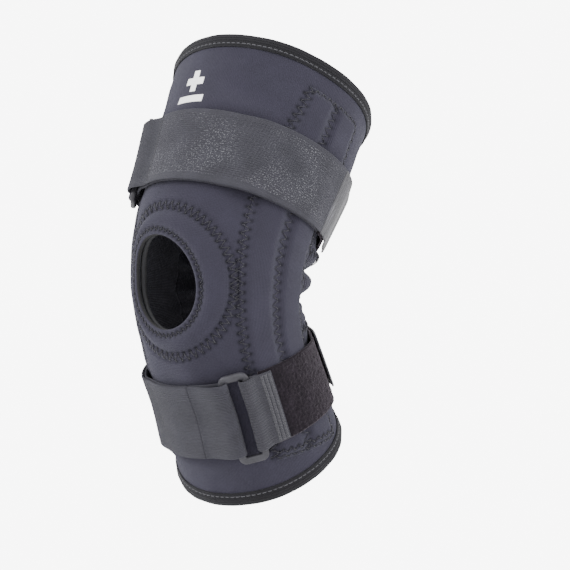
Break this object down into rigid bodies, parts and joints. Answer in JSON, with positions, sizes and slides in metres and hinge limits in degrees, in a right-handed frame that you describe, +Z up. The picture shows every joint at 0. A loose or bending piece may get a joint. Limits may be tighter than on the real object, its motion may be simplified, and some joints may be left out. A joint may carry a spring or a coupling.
{
  "type": "knee brace",
  "caption": "Bent tubular neoprene knee brace with a padded kneecap opening, sewn side stays, elastic straps through slot rings and peel-off hook tabs.",
  "frame": {"origin": "on the knee's flexion axis, at the middle of the sleeve", "axes": "+Z up between thigh and calf, the kneecap faces -Y, the flexion axis is X, and +X is the side with the calf strap's ring"},
  "size_m": [0.1403, 0.1689, 0.305],
  "materials": {
    "neoprene": "matte knitted nylon jersey over foamed neoprene",
    "stretch_panel": "matte ribbed stretch knit",
    "buttress_foam": "closed-cell foam, matte",
    "binding": "ribbed folded tape with a stitched edge",
    "pocket": "matte knitted jersey with zigzag seams",
    "spring_steel": "flattened spiral wire, satin",
    "end_cap": "dipped plastic tip",
    "emblem": null,
    "elastic": "woven ribbed elastic with smooth selvedges",
    "webbing": "plain woven nylon tape",
    "pile": "brushed nylon loop pile",
    "hook": "moulded hook tape on a welded tab, slight sheen",
    "ring_plastic": "moulded acetal, satin",
    "thread": "spun polyester thread"
  },
  "bodies": {
    "thigh": {"thigh_sleeve": "neoprene", "knee_front_panel": "neoprene", "popliteal_panel": "stretch_panel", "kneecap_buttress": "buttress_foam", "top_binding": "binding", "outer_stay_pocket": "pocket", "inner_stay_pocket": "pocket", "outer_front_stay": "spring_steel", "outer_rear_stay": "spring_steel", "inner_front_stay": "spring_steel", "inner_rear_stay": "spring_steel", "upper_stay_end_caps": "end_cap", "thigh_emblem": "emblem", "thigh_strap_inner_run": "elastic", "thigh_strap_outer_run": "elastic", "thigh_pile_band": "pile", "thigh_keeper_loop": "webbing", "thigh_keeper_bartack": "thread"},
    "calf": {"calf_sleeve": "neoprene", "bottom_binding": "binding", "lower_stay_end_caps": "end_cap", "calf_strap_inner_run": "elastic", "calf_strap_outer_run": "elastic", "calf_pile_band": "pile", "calf_keeper_loop": "webbing", "calf_keeper_bartack": "thread"},
    "thigh_ring": {"thigh_ring": "ring_plastic", "thigh_strap_fold": "elastic"},
    "calf_ring": {"calf_ring": "ring_plastic", "calf_strap_fold": "elastic"},
    "thigh_tab": {"thigh_hook_tab": "hook"},
    "calf_tab": {"calf_hook_tab": "hook"}
  },
  "joints": [
    {"name": "knee_flexion", "type": "hinge", "parent": "thigh", "child": "calf", "pos_m": [0, 0, 0], "axis": [1, 0, 0], "range_deg": [-50, 30], "deforming": ["knee_front_panel", "popliteal_panel", "kneecap_buttress", "outer_stay_pocket", "inner_stay_pocket", "outer_front_stay", "outer_rear_stay", "inner_front_stay", "inner_rear_stay"]},
    {"name": "thigh_ring_swivel", "type": "hinge", "parent": "thigh", "child": "thigh_ring", "pos_m": [-0.05792, -0.01218, 0.08039], "axis": [0.0836, -0.4171, -0.905], "range_deg": [0, 25]},
    {"name": "calf_ring_swivel", "type": "hinge", "parent": "calf", "child": "calf_ring", "pos_m": [0.04313, -0.0186, -0.07965], "axis": [-0.0213, -0.3827, 0.9236], "range_deg": [0, 25]},
    {"name": "thigh_tab_peel", "type": "hinge", "parent": "thigh", "child": "thigh_tab", "pos_m": [0.06701, 0.03249, 0.05728], "axis": [-0.1014, -0.4895, -0.8661], "range_deg": [0, 100]},
    {"name": "calf_tab_peel", "type": "hinge", "parent": "calf", "child": "calf_tab", "pos_m": [0.01394, 0.06811, -0.03806], "axis": [-0.0064, -0.5033, 0.8641], "range_deg": [0, 75]}
  ]
}
